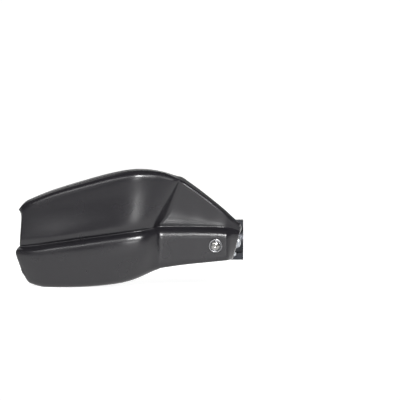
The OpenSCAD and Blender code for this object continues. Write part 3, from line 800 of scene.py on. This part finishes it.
def makeNut(node, origin, forward, d, height, collar):
    place = facing(origin, forward)
    flats = fastener["nutFlats"] * d
    corner = flats / math.sqrt(3)
    hexTop = collar - height
    made = lathe(node, place, [(0, hexTop), (corner, hexTop), (corner, -0.5), (0, -0.5)], segments=6)
    bevel = corner - flats / 2 + 0.15
    chamfer = [(0, hexTop), (corner - bevel, hexTop), (corner + 0.1, hexTop + 0.55 * bevel),
               (corner + 0.1, 0), (0, 0)]
    combine(made, lathe("chamfer", place, chamfer), "INTERSECT")
    r = fastener["nutFlange"] * d
    flange = [(0, -2.6), (0.86 * d, -2.3), (r - 0.5, -1.4), (r - 0.1, -1.2), (r, -1), (r, -0.3),
              (r - 0.3, 0), (0, 0)]
    combine(made, lathe("flange", place, flange), "UNION")
    if collar:
        r = fastener["collarRadius"] * d
        lock = [(0, -height), (r - 0.8, -height), (r - 0.2, 0.3 - height), (r, 0.9 - height),
                (r, hexTop + 0.5), (0, hexTop + 0.5)]
        combine(made, lathe("collar", place, lock), "UNION")
    r = d / 2 + 0.05
    bore = [(0, -2 * height), (r + height + 0.6, -2 * height), (r, 0.6 - height), (r, -0.6),
            (r + 0.6, 0.01), (0, 0.01)]
    combine(made, lathe("bore", place, bore), "DIFFERENCE")
    finished(made, node, "zinc_steel")


# Rings and tubes, as profiles of (radius, height)
profiles = {
    # a rolled bead round a hollow seat, with a groove beside the screw's head
    "cup": ([(3.3, 0), (7.3, 0), (8.0, 0.5), (8.2, 1.1)]
            + [(7.35 + 0.85 * math.cos(math.pi * k / 12), 1.55 + 0.85 * math.sin(math.pi * k / 12))
               for k in range(13)]
            + [(6.5, 1.3), (6.4, 0.7), (6.1, 0.4), (5.6, 0.4), (5.35, 0.6), (5.25, 1), (3.7, 1),
               (3.3, 0.7)]),
    "bush": softened([(3.3, 0), (8, 0), (8, 6), (5, 6), (5, 9), (3.3, 9)], 0.5),
    "sleeve": softened([(4.3, 0), (8.7, 0), (8.7, 24), (6.87, 24), (5.25, 18), (4.3, 18)], 0.5),
    "cone": softened([(4.05, 0), (5.2, 0), (8.44, 12), (4.05, 12)], 0.4),
    "weight": softened([(4.3, 0), (15.1, 0), (15.1, 14), (4.3, 14)], 1.1, 6),
    "boltWasher": ring(4.3, 8, 1.6),
    "screwWasher": ring(3.3, 6.3, 1.6),
    "isolator": ring(3.3, 7, 3, 0.6),
    "insert": ring(3.05, 4, 6.5),
}

# node, place, way local Z looks, profile, slot
roundPieces = [
    ("cup_washer", (-23.3, -81.5, -0.7), (0, -1, 0), "cup", "turned_washer"),
    ("front_bush", (-23.3, -72.5, -0.7), (0, -1, 0), "bush", "rubber"),
    ("clamp_bolt_washer", (2, -29.6, 0), (1, 0, 0), "boltWasher", "zinc_steel"),
    ("bar_end_washer", (-250.6, 0, 0), (1, 0, 0), "boltWasher", "zinc_steel"),
    ("bar_end_weight", (-245, 0, 0), (1, 0, 0), "weight", "coated_weight"),
    ("expander_sleeve", (-231, 0, 0), (1, 0, 0), "sleeve", "rubber"),
    ("expander_cone", (-213, 0, 0), (1, 0, 0), "cone", "zinc_steel"),
    ("outer_shell_washer", (-207, -68.5, 4), (0, 1, 0), "screwWasher", "zinc_steel"),
    ("outer_isolator", (-207, -72.5, 4), (0, -1, 0), "isolator", "rubber"),
    ("outer_insert", (-207, -75.5, 4), (0, -1, 0), "insert", "insert_brass"),
    ("inner_shell_washer", (-140, -68.5, -2), (0, 1, 0), "screwWasher", "zinc_steel"),
    ("inner_isolator", (-140, -72.5, -2), (0, -1, 0), "isolator", "rubber"),
    ("inner_insert", (-140, -75.5, -2), (0, -1, 0), "insert", "insert_brass"),
]

# two saw cuts across the end of the sleeve that the cone spreads
sawCut = {"across": 30, "width": 1.5, "length": 20, "middle": 18, "turns": (0, 90)}


def sawSleeve(sleeve):
    half = Vector((sawCut["across"], sawCut["width"], sawCut["length"])) / 2
    corners = [(x, y, z) for x in (-half.x, half.x) for y in (-half.y, half.y)
               for z in (sawCut["middle"] - half.z, sawCut["middle"] + half.z)]
    sides = [(0, 1, 3, 2), (4, 6, 7, 5), (0, 4, 5, 1), (2, 3, 7, 6), (0, 2, 6, 4), (1, 5, 7, 3)]
    for turn in sawCut["turns"]:
        saw = meshObject("saw", corners, sides)
        saw.matrix_world = sleeve.matrix_world @ Matrix.Rotation(math.radians(turn), 4, "Z")
        combine(sleeve, saw, "DIFFERENCE")


def makeRoundPieces():
    for node, origin, forward, profile, slot in roundPieces:
        made = lathe(node, facing(origin, forward), profiles[profile], segments=96, sharpAngle=40)
        if node == "expander_sleeve":
            sawSleeve(made)
        finished(made, node, slot)
    print("round pieces:", len(roundPieces))


# Pieces shown as the CAD made them, with their edges rounded

# node: slot, rounding of its edges in mm
edged = {
    "support_strap": ("coated_steel", 0.8),
    "clamp_body": ("anodised_clamp", 0.6),
    "clamp_cap": ("anodised_clamp", 0.6),
    "clamp_spring_washer": ("zinc_steel", 0.2),
}


def dressCadNodes():
    for name, (slot, width) in edged.items():
        # welded and with its flat faces merged, so that only real edges are rounded
        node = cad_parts[name]
        weld = node.modifiers.new("weld", "WELD")
        weld.merge_threshold = 1e-6
        flat = node.modifiers.new("flatFaces", "DECIMATE")
        flat.decimate_type = "DISSOLVE"
        flat.angle_limit = math.radians(0.5)
        bevel = node.modifiers.new("roundedEdges", "BEVEL")
        bevel.width = width * mm
        bevel.segments = 4
        bevel.limit_method = "ANGLE"
        bevel.angle_limit = math.radians(30)
        bevel.harden_normals = True
        node.data.materials.clear()
        node.data.materials.append(materials[slot])
    print("CAD pieces:", len(edged))


makeMaterials()
makeCamera()
makeStudio()
makeShell()
for screw in fastener["screws"]:
    makeScrew(*screw)
for nut in fastener["nuts"]:
    makeNut(*nut)
print("fasteners:", len(fastener["screws"]) + len(fastener["nuts"]))
makeRoundPieces()
dressCadNodes()

bpy.context.scene.view_settings.view_transform = "Standard"
